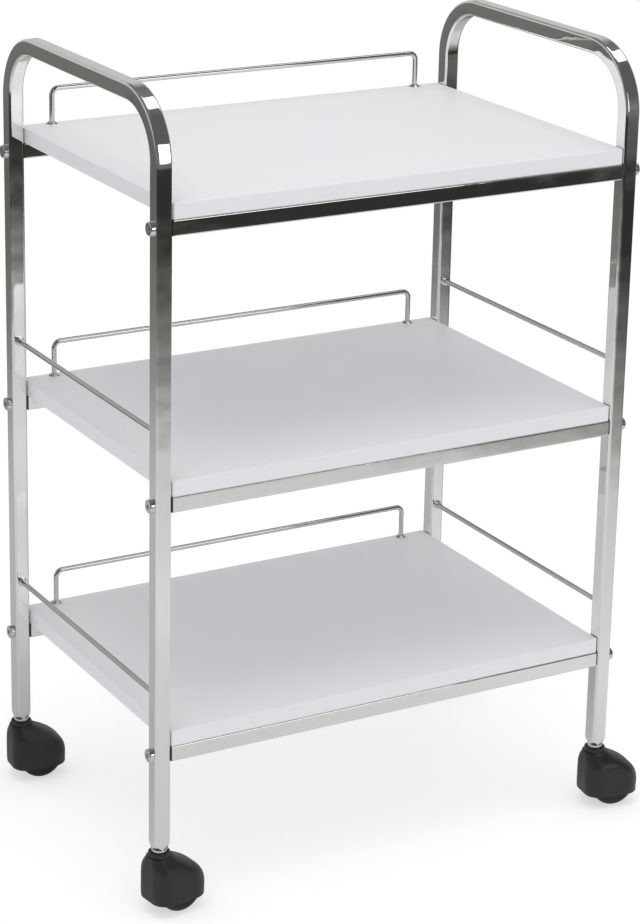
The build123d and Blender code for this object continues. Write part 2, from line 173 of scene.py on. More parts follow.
def finishMaterial(name, effect, metallic=0.0):
    # one material: the effect group drives colour, roughness and bump of a Principled BSDF
    settings = finishSettings[name]
    material = bpy.data.materials.new(name)
    material.use_nodes = True
    tree = material.node_tree
    tree.nodes.clear()
    output = addNode(tree, "ShaderNodeOutputMaterial")
    shader = addNode(tree, "ShaderNodeBsdfPrincipled")
    place = addNode(tree, "ShaderNodeTexCoord")
    group = addNode(tree, "ShaderNodeGroup", node_tree=effect)
    bump = addNode(tree, "ShaderNodeBump")
    for socket in group.inputs:
        if socket.name in settings:
            socket.default_value = settings[socket.name]
    shader.inputs["Metallic"].default_value = metallic
    bumpStrength, bumpDistance = settings["bump"]
    bump.inputs["Strength"].default_value = bumpStrength
    bump.inputs["Distance"].default_value = bumpDistance
    links = tree.links
    links.new(place.outputs["Object"], group.inputs["Vector"])
    links.new(group.outputs["Color"], shader.inputs["Base Color"])
    links.new(group.outputs["Roughness"], shader.inputs["Roughness"])
    links.new(group.outputs["Height"], bump.inputs["Height"])
    links.new(bump.outputs["Normal"], shader.inputs["Normal"])
    links.new(shader.outputs["BSDF"], output.inputs["Surface"])
    return material


# the effect's inputs, then how strongly its height shows and how high it stands in metres
finishSettings = {
    "tubeChrome": {
        "Base": (0.955, 0.95, 0.935, 1), "Haze": gray(0.82), "Wave Scale": 30.0, "Wave Height": 0.6,
        "Smooth": 0.045, "Worn": 0.12, "bump": (0.5, 0.0013)},
    "wireChrome": {
        "Base": (0.70, 0.70, 0.69, 1), "Haze": gray(0.56), "Wave Scale": 60.0, "Wave Height": 0.3,
        "Smooth": 0.07, "Worn": 0.16, "bump": (0.2, 0.0003)},
    "fittingChrome": {
        "Base": (0.82, 0.82, 0.81, 1), "Haze": gray(0.6), "Wave Scale": 140.0, "Wave Height": 0.5,
        "Smooth": 0.15, "Worn": 0.28, "bump": (0.25, 0.0003)},
    "plainSteel": {
        "Base": (0.52, 0.52, 0.53, 1), "Haze": gray(0.36), "Wave Scale": 180.0, "Wave Height": 0.6,
        "Smooth": 0.24, "Worn": 0.42, "bump": (0.3, 0.0003)},
    "whiteLaminate": {
        "Base": (0.82, 0.825, 0.83, 1), "Tone": (0.81, 0.815, 0.825, 1), "Grain Scale": 1400.0,
        "Cloud Scale": 5.0, "Smooth": 0.36, "Rough": 0.46, "bump": (0.12, 0.0001)},
    "hoodPlastic": {
        "Base": (0.017, 0.017, 0.018, 1), "Tone": (0.023, 0.023, 0.024, 1), "Grain Scale": 2200.0,
        "Cloud Scale": 40.0, "Smooth": 0.30, "Rough": 0.48, "bump": (0.25, 0.00012)},
    "wheelPlastic": {
        "Base": (0.008, 0.008, 0.009, 1), "Tone": (0.014, 0.014, 0.014, 1), "Grain Scale": 1500.0,
        "Cloud Scale": 60.0, "Smooth": 0.35, "Rough": 0.55, "bump": (0.3, 0.00012)},
    "plugPlastic": {
        "Base": (0.035, 0.035, 0.035, 1), "Tone": (0.05, 0.05, 0.05, 1), "Grain Scale": 1800.0,
        "Cloud Scale": 70.0, "Smooth": 0.5, "Rough": 0.65, "bump": (0.3, 0.0001)},
}

polishEffect = buildPolishEffect()
grainEffect = buildGrainEffect()
tubeChrome = finishMaterial("tubeChrome", polishEffect, metallic=1.0)
wireChrome = finishMaterial("wireChrome", polishEffect, metallic=1.0)
fittingChrome = finishMaterial("fittingChrome", polishEffect, metallic=1.0)
plainSteel = finishMaterial("plainSteel", polishEffect, metallic=1.0)
whiteLaminate = finishMaterial("whiteLaminate", grainEffect)
hoodPlastic = finishMaterial("hoodPlastic", grainEffect)
wheelPlastic = finishMaterial("wheelPlastic", grainEffect)
plugPlastic = finishMaterial("plugPlastic", grainEffect)
print("materials made")


# finishes of the pieces carried over from the frame

def slotFinish(node):
    if node.endswith(("side_frame", "_rail")):
        return tubeChrome
    if node.endswith(("guard_wire", "guard_rod")):
        return wireChrome
    if node.endswith(("frame_bolts", "ferrules", "rosettes", "stem_sockets")):
        return fittingChrome
    if node.endswith("shelf_board"):
        return whiteLaminate
    if node.endswith("end_plugs"):
        return plugPlastic
    if node.endswith("caster_hood"):
        return hoodPlastic
    if "caster_wheel" in node:
        return wheelPlastic
    return plainSteel


for name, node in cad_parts.items():
    node.data.materials.clear()
    node.data.materials.append(slotFinish(name))
print("frame pieces painted")


# Geometry Nodes helpers

def newGeometryTree(name, inputs):
    # inputs: label, socket type, value
    tree = bpy.data.node_groups.new(name, "GeometryNodeTree")
    tree.interface.new_socket("Geometry", in_out="INPUT", socket_type="NodeSocketGeometry")
    for label, kind, value in inputs:
        socket = tree.interface.new_socket(label, in_out="INPUT", socket_type=kind)
        if value is not None:
            socket.default_value = value
    tree.interface.new_socket("Geometry", in_out="OUTPUT", socket_type="NodeSocketGeometry")
    return tree, tree.nodes.new("NodeGroupInput"), tree.nodes.new("NodeGroupOutput")


def linkObject(name, mesh):
    obj = bpy.data.objects.new(name, mesh)
    bpy.context.scene.collection.objects.link(obj)
    return obj


def meshFrom(name, points, edges=(), faces=()):
    mesh = bpy.data.meshes.new(name)
    mesh.from_pydata([tuple(p) for p in points], list(edges), list(faces))
    mesh.update()
    return mesh


def plainMesh(obj):
    # the mesh that comes out of an object's modifiers
    bpy.context.view_layer.update()
    evaluated = obj.evaluated_get(bpy.context.evaluated_depsgraph_get())
    mesh = bpy.data.meshes.new_from_object(evaluated)
    obj.modifiers.clear()
    return mesh


def growPiece(name, baseMesh, tree, values, cutter=None, reshape=None):
    # runs a tree on a base mesh, cuts and reshapes what comes out, and keeps that as a plain mesh
    base = linkObject(name, baseMesh)
    modifier = base.modifiers.new("grow", "NODES")
    modifier.node_group = tree
    for item in tree.interface.items_tree:
        if item.item_type == "SOCKET" and item.in_out == "INPUT" and item.name in values:
            modifier[item.identifier] = values[item.name]
    if cutter:
        drill = base.modifiers.new("drill", "BOOLEAN")
        drill.object = cutter
        drill.solver = "EXACT"
    if reshape:
        base.data = plainMesh(base)
        for vertex in base.data.vertices:
            vertex.co = reshape(vertex.co)
    weighted = base.modifiers.new("evenNormals", "WEIGHTED_NORMAL")
    weighted.keep_sharp = True
    base.data = plainMesh(base)
    base.data.name = name
    if cutter:
        bpy.data.objects.remove(cutter)
    return base


def buildSweptTubeTree():
    # a square tube with rounded corners, swept along a route whose corners are bent
    tree, source, result = newGeometryTree(
        "sweptTube",
        [("Tube Size", "NodeSocketFloat", 0.016), ("Tube Corner", "NodeSocketFloat", 0.003),
         ("Bend Radius", "NodeSocketFloat", 0.057), ("Bend Steps", "NodeSocketInt", 28),
         ("Corner Steps", "NodeSocketInt", 6), ("Closed Ends", "NodeSocketBool", False),
         ("Finish", "NodeSocketMaterial", None)])
    link = tree.links.new
    route = addNode(tree, "GeometryNodeMeshToCurve")
    bend = addNode(tree, "GeometryNodeFilletCurve")
    section = addNode(tree, "GeometryNodeCurvePrimitiveQuadrilateral")
    divide = addNode(tree, "GeometryNodeSubdivideCurve")
    divide.inputs["Cuts"].default_value = 3      # points across a wall, for the walls that sink at a bend
    soften = addNode(tree, "GeometryNodeFilletCurve")
    sweep = addNode(tree, "GeometryNodeCurveToMesh")
    smooth = addNode(tree, "GeometryNodeSetShadeSmooth")
    realize = addNode(tree, "GeometryNodeRealizeInstances")
    paint = addNode(tree, "GeometryNodeSetMaterial")
    for node in (bend, soften):
        node.mode = "POLY"
    link(source.outputs["Geometry"], route.inputs["Mesh"])
    link(route.outputs["Curve"], bend.inputs["Curve"])
    link(source.outputs["Bend Radius"], bend.inputs["Radius"])
    link(source.outputs["Bend Steps"], bend.inputs["Count"])
    link(source.outputs["Tube Size"], section.inputs["Width"])
    link(source.outputs["Tube Size"], section.inputs["Height"])
    link(section.outputs["Curve"], soften.inputs["Curve"])
    link(soften.outputs["Curve"], divide.inputs["Curve"])
    link(source.outputs["Tube Corner"], soften.inputs["Radius"])
    link(source.outputs["Corner Steps"], soften.inputs["Count"])
    link(bend.outputs["Curve"], sweep.inputs["Curve"])
    link(divide.outputs["Curve"], sweep.inputs["Profile Curve"])
    link(source.outputs["Closed Ends"], sweep.inputs["Fill Caps"])
    link(sweep.outputs["Mesh"], smooth.inputs["Geometry"])
    link(smooth.outputs["Geometry"], realize.inputs["Geometry"])
    link(realize.outputs["Geometry"], paint.inputs["Geometry"])
    link(source.outputs["Finish"], paint.inputs["Material"])
    link(paint.outputs["Geometry"], result.inputs["Geometry"])
    return tree


def buildBentWireTree():
    # a round wire swept along a route whose corners are bent
    tree, source, result = newGeometryTree(
        "bentWire",
        [("Wire Diameter", "NodeSocketFloat", 0.005), ("Bend Radius", "NodeSocketFloat", 0.007),
         ("Bend Steps", "NodeSocketInt", 14), ("Round Steps", "NodeSocketInt", 24),
         ("Finish", "NodeSocketMaterial", None)])
    link = tree.links.new
    route = addNode(tree, "GeometryNodeMeshToCurve")
    bend = addNode(tree, "GeometryNodeFilletCurve", mode="POLY")
    half = addNode(tree, "ShaderNodeMath", operation="MULTIPLY")
    half.inputs[1].default_value = 0.5
    section = addNode(tree, "GeometryNodeCurvePrimitiveCircle")
    sweep = addNode(tree, "GeometryNodeCurveToMesh")
    smooth = addNode(tree, "GeometryNodeSetShadeSmooth")
    realize = addNode(tree, "GeometryNodeRealizeInstances")
    paint = addNode(tree, "GeometryNodeSetMaterial")
    sweep.inputs["Fill Caps"].default_value = True
    link(source.outputs["Geometry"], route.inputs["Mesh"])
    link(route.outputs["Curve"], bend.inputs["Curve"])
    link(source.outputs["Bend Radius"], bend.inputs["Radius"])
    link(source.outputs["Bend Steps"], bend.inputs["Count"])
    link(source.outputs["Wire Diameter"], half.inputs[0])
    link(half.outputs[0], section.inputs["Radius"])
    link(source.outputs["Round Steps"], section.inputs["Resolution"])
    link(bend.outputs["Curve"], sweep.inputs["Curve"])
    link(section.outputs["Curve"], sweep.inputs["Profile Curve"])
    link(sweep.outputs["Mesh"], smooth.inputs["Geometry"])
    link(smooth.outputs["Geometry"], realize.inputs["Geometry"])
    link(realize.outputs["Geometry"], paint.inputs["Geometry"])
    link(source.outputs["Finish"], paint.inputs["Material"])
    link(paint.outputs["Geometry"], result.inputs["Geometry"])
    return tree


def buildRepeatTree():
    # one turned fitting repeated at every base point, facing along the point's "facing" vector
    tree, source, result = newGeometryTree(
        "repeatedFitting",
        [("Fitting", "NodeSocketObject", None), ("Fitting Scale", "NodeSocketFloat", 1.0),
         ("Finish", "NodeSocketMaterial", None)])
    link = tree.links.new
    points = addNode(tree, "GeometryNodeMeshToPoints")
    facing = addNode(tree, "GeometryNodeInputNamedAttribute", data_type="FLOAT_VECTOR")
    facing.inputs["Name"].default_value = "facing"
    align = addNode(tree, "FunctionNodeAlignRotationToVector", axis="Z")
    shape = addNode(tree, "GeometryNodeObjectInfo")
    spread = addNode(tree, "GeometryNodeInstanceOnPoints")
    realize = addNode(tree, "GeometryNodeRealizeInstances")
    paint = addNode(tree, "GeometryNodeSetMaterial")
    link(source.outputs["Geometry"], points.inputs["Mesh"])
    link(points.outputs["Points"], spread.inputs["Points"])
    link(source.outputs["Fitting"], shape.inputs["Object"])
    link(shape.outputs["Geometry"], spread.inputs["Instance"])
    link(facing.outputs["Attribute"], align.inputs["Vector"])
    link(align.outputs["Rotation"], spread.inputs["Rotation"])
    link(source.outputs["Fitting Scale"], spread.inputs["Scale"])
    link(spread.outputs["Instances"], realize.inputs["Geometry"])
    link(realize.outputs["Geometry"], paint.inputs["Geometry"])
    link(source.outputs["Finish"], paint.inputs["Material"])
    link(paint.outputs["Geometry"], result.inputs["Geometry"])
    return tree


sweptTubeTree = buildSweptTubeTree()
bentWireTree = buildBentWireTree()
repeatTree = buildRepeatTree()


# ring-built shapes

def skinRings(name, rings, capFirst=True, capLast=True, closedLoop=False):
    # rings of equal length, joined by quads
    count = len(rings[0])
    points = [p for ring in rings for p in ring]
    faces = []
    last = len(rings) if closedLoop else len(rings) - 1
    for r in range(last):
        a = r * count
        b = ((r + 1) % len(rings)) * count
        for i in range(count):
            j = (i + 1) % count
            faces.append((a + i, a + j, b + j, b + i))
    if capFirst:
        faces.append(tuple(reversed(range(count))))
    if capLast:
        faces.append(tuple(range((len(rings) - 1) * count, len(rings) * count)))
    mesh = meshFrom(name, points, (), faces)
    work = bmesh.new()
    work.from_mesh(mesh)
    bmesh.ops.remove_doubles(work, verts=work.verts, dist=1e-7)
    bmesh.ops.recalc_face_normals(work, faces=work.faces)
    work.to_mesh(mesh)
    work.free()
    return mesh


def turnedRing(radius, height, count, sixSided=False):
    # a circle, or the six-sided outline of a key socket whose flats are at this radius
    ring = []
    for i in range(count):
        angle = 2 * math.pi * i / count
        r = radius
        if sixSided:
            r = radius / math.cos((angle + math.pi / 6) % (math.pi / 3) - math.pi / 6)
        ring.append((r * math.cos(angle), r * math.sin(angle), height))
    return ring


def smoothByAngle(obj, degrees):
    for polygon in obj.data.polygons:
        polygon.use_smooth = True
    obj.data.set_sharp_from_angle(angle=math.radians(degrees))


def roundedOutline(halfLength, halfWidth, corner, steps, height):
    # a rectangle with rounded corners, centred on the origin
    ring = []
    for quarter, (sx, sy) in enumerate(((1, 1), (-1, 1), (-1, -1), (1, -1))):
        for i in range(steps + 1):
            angle = math.pi / 2 * (quarter + i / steps)
            ring.append((sx * (halfLength - corner) + corner * math.cos(angle),
                         sy * (halfWidth - corner) + corner * math.sin(angle), height))
    return ring


# side frames

tubeSettings = {
    "tubeSize": 16 * mm,
    "tubeCorner": 3 * mm,
    "bendRadius": 57 * mm,
    "bendSteps": 32,
    "cornerSteps": 8,
    "bendPinch": 0.07,         # share of its width that the inside of a bend loses
    "bendDent": 0.25 * mm,     # how far the outer and inner walls sink in at a bend
    "bendEase": 1.6,           # above 1, the squash is full before the middle of the bend
    "squareEnd": 72 * mm,      # floor to the taper
    "swageEnd": 65.5 * mm,     # floor to the end of the taper
    # the taper: share of its height, how far it is drawn in, how much rounder its corners are
    "swage": [(0.0, 0.0, 0.0), (0.12, 0.0, 0.3 * mm), (0.55, 0.8 * mm, 1.6 * mm),
              (0.85, 1.4 * mm, 3.2 * mm), (1.0, 1.7 * mm, 3.8 * mm)],
    "swageCornerSteps": 6,
}


def swagedRings(x, y):
    # the post's square end drawn in to a nearly round one
    t = tubeSettings
    rings = []
    for share, drawnIn, rounder in t["swage"]:
        height = t["squareEnd"] + (t["swageEnd"] - t["squareEnd"]) * share
        half = (t["tubeSize"] - drawnIn) / 2
        outline = roundedOutline(half, half, t["tubeCorner"] + rounder, t["swageCornerSteps"], height)
        rings.append([(x + px, y + py, pz) for px, py, pz in outline])
    return rings


def joinMeshes(name, meshes):
    work = bmesh.new()
    for mesh in meshes:
        work.from_mesh(mesh)
    joined = bpy.data.meshes.new(name)
    work.to_mesh(joined)
    work.free()
    return joined


def squashedBend(point, middleX, reach, crown):
    # a bent square tube is narrower inside its bend, and its outer and inner walls sink a little
    t = tubeSettings
    out = abs(point.y) - (reach - t["bendRadius"])
    up = point.z - (crown - t["bendRadius"])
    if out <= 0 or up <= 0:
        return point
    half = t["tubeSize"] / 2
    angle = math.atan2(up, out)
    amount = min(1.0, t["bendEase"] * math.sin(2 * angle))
    radius = math.hypot(out, up)
    across = (point.x - middleX) / half
    depth = (radius - t["bendRadius"]) / half      # -1 on the inner wall, 1 on the outer
    pinch = 1 - amount * t["bendPinch"] * ((1 - depth) / 2) ** 2
    radius -= amount * t["bendDent"] * (1 - across ** 2) * depth ** 3
    y = reach - t["bendRadius"] + radius * math.cos(angle)
    z = crown - t["bendRadius"] + radius * math.sin(angle)
    return Vector((middleX + across * half * pinch, math.copysign(y, point.y), z))


def buildSideFrame(side):
    t = tubeSettings
    low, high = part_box(f"{side}_side_frame")
    x = (low.x + high.x) / 2
    reach = high.y - t["tubeSize"] / 2
    crown = high.z - t["tubeSize"] / 2
    route = [(x, -reach, t["squareEnd"]), (x, -reach, crown), (x, reach, crown), (x, reach, t["squareEnd"])]
    base = meshFrom("route", route, [(0, 1), (1, 2), (2, 3)])
    piece = growPiece(f"{side}SideFrame", base, sweptTubeTree, {
        "Tube Size": t["tubeSize"], "Tube Corner": t["tubeCorner"], "Bend Radius": t["bendRadius"],
        "Bend Steps": t["bendSteps"], "Corner Steps": t["cornerSteps"], "Finish": tubeChrome},
        reshape=lambda point: squashedBend(point, x, reach, crown))
    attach(piece, mainBody)
    ends = []
    for y in (-reach, reach):
        ends.append(skinRings("swage", swagedRings(x, y), capFirst=False, capLast=True))
    swaged = linkObject(f"{side}SwagedEnds", joinMeshes("swagedEnds", ends))
    swaged.data.materials.append(tubeChrome)
    smoothByAngle(swaged, degrees=40)
    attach(swaged, mainBody)
    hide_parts(f"{side}_side_frame")


for side in sides:
    buildSideFrame(side)
print("side frames bent")


# cross rails and the plugs in their ends

railSettings = {
    "size": 15 * mm,
    "corner": 1.3 * mm,
    "cornerSteps": 5,
    "collar": 1.2 * mm,          # what shows of a plug between its rail and the post
    "collarInset": 0.3 * mm,
    "collarCorner": 1.6 * mm,
    "shankSize": 12.4 * mm,
    "shankLength": 12 * mm,
    "shankCorner": 0.6 * mm,
    "screwHeadRadius": 4 * mm,
    "screwHoleRadius": 4.6 * mm,
    "screwHoleDepth": 11.2 * mm,
    "screwHoleSteps": 32,
    "drillStart": 2 * mm,        # the cutter starts this far below the rail
}


def screwHoles(tier, railLow):
    # cutter for the two holes below the board screws' heads
    r = railSettings
    low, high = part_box(f"{tier}_board_screws")
    y = railLow.y + r["size"] / 2
    holes = []
    for x in (low.x + r["screwHeadRadius"], high.x - r["screwHeadRadius"]):
        rings = []
        for z in (railLow.z - r["drillStart"], railLow.z + r["screwHoleDepth"]):
            circle = turnedRing(r["screwHoleRadius"], z, r["screwHoleSteps"])
            rings.append([(x + px, y + py, pz) for px, py, pz in circle])
        holes.append(skinRings("hole", rings))
    return linkObject("screwHoles", joinMeshes("screwHoles", holes))


def plugRings(postFace, inward, y, z):
    # collar against the post, then the shank inside the rail
    r = railSettings
    collar = (r["size"] / 2 - r["collarInset"], r["collarCorner"])
    shank = (r["shankSize"] / 2, r["shankCorner"])
    shankEnd = r["collar"] + r["shankLength"]
    stations = [(0, collar), (r["collar"], collar), (r["collar"], shank), (shankEnd, shank)]
    rings = []
    for along, (half, corner) in stations:
        outline = roundedOutline(half, half, corner, r["cornerSteps"], 0)
        rings.append([(postFace + inward * along, y + py, z + pz) for py, pz, _ in outline])
    return rings


def buildRails():
    r = railSettings
    for tier in tiers:
        plugs = []
        for end in ("front", "rear"):
            node = f"{tier}_{end}_rail"
            low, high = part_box(node)
            plugLow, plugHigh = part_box(f"{tier}_rail_end_plugs")
            y, z = (low.y + high.y) / 2, (low.z + high.z) / 2
            left, right = plugLow.x + r["collar"], plugHigh.x - r["collar"]
            route = meshFrom("route", [(left, y, z), (right, y, z)], [(0, 1)])
            piece = growPiece(f"{tier}{end.capitalize()}Rail", route, sweptTubeTree, {
                "Tube Size": r["size"], "Tube Corner": r["corner"], "Bend Radius": 0.0, "Bend Steps": 1,
                "Corner Steps": r["cornerSteps"], "Closed Ends": True, "Finish": tubeChrome},
                cutter=screwHoles(tier, low))
            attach(piece, mainBody)
            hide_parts(node)
            plugs.append(skinRings("plug", plugRings(plugLow.x, 1, y, z)))
            plugs.append(skinRings("plug", plugRings(plugHigh.x, -1, y, z)))
        plugPiece = linkObject(f"{tier}RailPlugs", joinMeshes("plugs", plugs))
        plugPiece.data.materials.append(plugPlastic)
        smoothByAngle(plugPiece, degrees=35)
        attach(plugPiece, mainBody)
        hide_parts(f"{tier}_rail_end_plugs")


buildRails()
print("rails cut")


# rear guard wires and side rods

wireSettings = {
    "diameter": 5 * mm,
    "bendRadius": 7 * mm,
    "bendSteps": 16,
    "roundSteps": 24,
}


def sweepWire(name, route, node):
    w = wireSettings
    edges = [(i, i + 1) for i in range(len(route) - 1)]
    piece = growPiece(name, meshFrom("route", route, edges), bentWireTree, {
        "Wire Diameter": w["diameter"], "Bend Radius": w["bendRadius"], "Bend Steps": w["bendSteps"],
        "Round Steps": w["roundSteps"], "Finish": wireChrome})
    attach(piece, mainBody)
    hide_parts(node)


def buildGuards():
    half = wireSettings["diameter"] / 2
    for tier in tiers:
        node = f"{tier}_rear_guard_wire"
        low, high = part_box(node)
        y = (low.y + high.y) / 2
        left, right, crown = low.x + half, high.x - half, high.z - half
        route = [(left, y, low.z), (left, y, crown), (right, y, crown), (right, y, low.z)]
        sweepWire(f"{tier}RearWire", route, node)
    for tier in tiers[:2]:
        for side in sides:
            node = f"{tier}_{side}_guard_rod"
            low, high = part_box(node)
            x, z = (low.x + high.x) / 2, (low.z + high.z) / 2
            sweepWire(f"{tier}{side.capitalize()}Rod", [(x, low.y, z), (x, high.y, z)], node)


buildGuards()
print("guard wires bent")


# turned fittings: bolt heads, rosettes and ferrules

boltSettings = {
    "headRadius": 6.5 * mm,
    "headHeight": 4.6 * mm,
    "edgeRound": 1.4 * mm,
    "roundSteps": 7,
    "footBevel": 0.25 * mm,
    "keyFlat": 2.0 * mm,       # centre of the socket to one of its flats
    "keyDepth": 2.4 * mm,
    # the rim of the socket: beyond the flat, below the face, six-sided or round
    "keyRim": [(0.55 * mm, 0.0, False), (0.2 * mm, 0.05 * mm, True), (0.0, 0.25 * mm, True)],
    "shankRadius": 3.0 * mm,
    "shankLength": 12 * mm,
    "turnSteps": 48,
}


def boltTemplate():
    b = boltSettings
    outline = [(b["shankRadius"], -b["shankLength"], False), (b["shankRadius"], 0, False),
               (b["headRadius"] - b["footBevel"], 0, False), (b["headRadius"], b["footBevel"], False)]
    for i in range(1, b["roundSteps"] + 1):
        angle = math.pi / 2 * i / b["roundSteps"]
        outline.append((b["headRadius"] - b["edgeRound"] * (1 - math.cos(angle)),
                        b["headHeight"] - b["edgeRound"] * (1 - math.sin(angle)), False))
    for beyond, below, sixSided in b["keyRim"] + [(0.0, b["keyDepth"], True)]:
        outline.append((b["keyFlat"] + beyond, b["headHeight"] - below, sixSided))
    rings = [turnedRing(radius, height, b["turnSteps"], sixSided) for radius, height, sixSided in outline]
    template = linkObject("boltTemplate", skinRings("bolt", rings))
    smoothByAngle(template, degrees=35)
    return template


# half sections in millimetres, as radius and height above the board or the post
ringSettings = {
    "rosette": [(2.55, -0.4), (6.0, -0.4), (6.0, 0.35), (5.6, 0.75), (4.6, 1.2), (3.9, 1.75), (3.7, 2.2),
                (3.45, 2.4), (2.55, 2.4)],
    "ferrule": [(2.55, 0), (4.5, 0), (4.5, 2.2), (4.27, 2.77), (3.7, 3.0), (2.55, 3.0)],
    "turnSteps": 40,
}


def ringTemplate(kind):
    # a half section turned into a ring-shaped fitting
    rings = [turnedRing(radius * mm, height * mm, ringSettings["turnSteps"])
             for radius, height in ringSettings[kind]]
    mesh = skinRings(kind, rings, capFirst=False, capLast=False, closedLoop=True)
    template = linkObject(f"{kind}Template", mesh)
    smoothByAngle(template, degrees=38)
    return template


def scatterFitting(name, template, places, node):
    # places: a point and the direction that the fitting faces there
    base = meshFrom("places", [point for point, _ in places])
    facing = base.attributes.new("facing", "FLOAT_VECTOR", "POINT")
    facing.data.foreach_set("vector", [part for _, direction in places for part in direction])
    piece = growPiece(name, base, repeatTree, {
        "Fitting": template, "Fitting Scale": 1.0, "Finish": fittingChrome})
    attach(piece, mainBody)
    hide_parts(node)


def postPlaces():
    # where each side's posts stand along X, and how far from the middle they stand along Y
    boxes = {side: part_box(f"{side}_side_frame") for side in sides}
    places = {side: (low.x + high.x) / 2 for side, (low, high) in boxes.items()}
    return places, boxes["right"][1].y - tubeSettings["tubeSize"] / 2


def buildFittings():
    postX, postY = postPlaces()
    half = tubeSettings["tubeSize"] / 2
    bolt = boltTemplate()
    for side, sign in sides.items():
        places = []
        for tier in tiers:
            low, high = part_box(f"{tier}_front_rail")
            z = (low.z + high.z) / 2
            for y in (-postY, postY):
                places.append(((postX[side] + sign * half, y, z), (sign, 0, 0)))
        scatterFitting(f"{side}BoltHeads", bolt, places, f"{side}_frame_bolts")
    rosette = ringTemplate("rosette")
    places = []
    for tier in tiers:
        low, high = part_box(f"{tier}_rear_guard_wire")
        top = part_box(f"{tier}_shelf_board")[1].z
        for x in (low.x + wireSettings["diameter"] / 2, high.x - wireSettings["diameter"] / 2):
            places.append(((x, (low.y + high.y) / 2, top), (0, 0, 1)))
    scatterFitting("wireRosettes", rosette, places, "guard_wire_rosettes")
    ferrule = ringTemplate("ferrule")
    places = []
    for tier in tiers[:2]:
        for side in sides:
            low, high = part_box(f"{tier}_{side}_guard_rod")
            z = (low.z + high.z) / 2
            for end in (-1, 1):
                places.append(((postX[side], end * (postY - half), z), (0, -end, 0)))
    scatterFitting("rodFerrules", ferrule, places, "guard_rod_ferrules")
    for template in (bolt, rosette, ferrule):
        bpy.data.objects.remove(template)


buildFittings()
print("fittings placed")


# shelf boards: a pressed core, two laminate faces and a banded edge

boardSettings = {
    "planCorner": 2.0 * mm,
    "leastCorner": 0.3 * mm,
    "cornerSteps": 6,
    "edgeRound": 0.8 * mm,
    "roundSteps": 4,
    "seamStart": 0.9 * mm,       # from the side to the seam where the edge band meets a face
    "seamWidth": 0.16 * mm,
    "seamDepth": 0.12 * mm,
}


def boardRings(low, high):
    b = boardSettings
    halfLength, halfWidth = (high.x - low.x) / 2, (high.y - low.y) / 2
    middleX, middleY = (high.x + low.x) / 2, (high.y + low.y) / 2
    seam, width = b["seamStart"], b["seamWidth"]
    # from the face out to the side: inset from the side, depth below the face
    profile = [(seam + 3 * width, 0.0), (seam + width, 0.0),
               (seam + width / 2, b["seamDepth"]), (seam, 0.0)]
    for i in range(b["roundSteps"] + 1):
        angle = math.pi / 2 * i / b["roundSteps"]
        profile.append((b["edgeRound"] * (1 - math.sin(angle)), b["edgeRound"] * (1 - math.cos(angle))))
    stations = [(inset, low.z + drop) for inset, drop in profile]
    stations += [(inset, high.z - drop) for inset, drop in reversed(profile)]
    rings = []
    for inset, height in stations:
        corner = max(b["planCorner"] - inset, b["leastCorner"])
        outline = roundedOutline(halfLength - inset, halfWidth - inset, corner, b["cornerSteps"], height)
        rings.append([(middleX + px, middleY + py, pz) for px, py, pz in outline])
    return rings


def buildBoards():
    for tier in tiers:
        low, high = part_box(f"{tier}_shelf_board")
        board = linkObject(f"{tier}Board", skinRings(f"{tier}Board", boardRings(low, high)))
        board.data.materials.append(whiteLaminate)
        smoothByAngle(board, degrees=30)
        weighted = board.modifiers.new("evenNormals", "WEIGHTED_NORMAL")
        weighted.keep_sharp = True
        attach(board, mainBody)
        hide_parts(f"{tier}_shelf_board")


buildBoards()
print("boards laid")


# studio: floor, room, light panels and camera

studioSettings = {
    "middle": (-0.316, -0.1, 0),   # what the floor's reflections are centred on
    "paperReach": 30,              # metres from the origin to each side of the floor
    "paper": 0.93,
    "paperGlow": 0.56,             # how white the floor is to the eye, shadows aside
    "paperShade": 0.52,
    "paperFade": (0.9, 2.6),       # distances between which the floor turns plain white
    "mirrorGlow": 0.55,            # shares of the reflected floor that glow and that take shadows
    "mirrorShade": 0.45,
    "highFill": (0.98, 0.99, 1.0, 1),   # colour of the room's light from above, then from low down
    "lowFill": (0.998, 0.98, 1.03, 1),
    "fillRise": (0.2, 0.7),        # sines of the height angles between which low fill turns to high
    "fillStrength": 0.80,
    "floorTurn": (-0.15, 0.1),     # where along Y the front of the reflected floor turns to its back
    "roomTurn": (-0.25, 0.25),     # the same for the room, as a share of the direction
    "reflectionReach": 4.0,        # distance at which the last brightness below is reached
    # the floor as the chrome sees it: distance from the middle, brightness, and how olive it is
    "reflectedFloorFront": [
        (0.0, 0.58, 0), (0.3, 0.60, 0), (0.65, 0.64, 0), (0.8, 0.70, 0), (1.1, 0.62, 0),
        (1.35, 0.57, 0.01), (1.5, 0.40, 0.02), (1.66, 0.27, 0.03), (1.95, 0.15, 0.04), (2.3, 0.065, 0.05),
        (2.6, 0.03, 0.05), (3.0, 0.03, 0.05), (3.6, 0.12, 0.04), (4.0, 0.16, 0.04)],
    "reflectedFloorBack": [
        (0.0, 0.42, 0), (0.6, 0.45, 0), (1.08, 0.46, 0), (1.35, 0.36, 0.01), (1.5, 0.29, 0.02),
        (1.8, 0.20, 0.03), (2.3, 0.14, 0.03), (2.8, 0.12, 0.04), (3.6, 0.17, 0.04), (4.0, 0.17, 0.04)],
    # the room as the chrome sees it: sine of the height angle, brightness
    "reflectedFront": [(0.0, 0.20), (0.12, 0.14), (0.26, 0.10), (0.85, 0.10), (1.0, 0.20)],
    "reflectedBack": [(0.0, 0.40), (0.09, 0.56), (0.42, 0.52), (0.65, 0.14), (1.0, 0.20)],
}


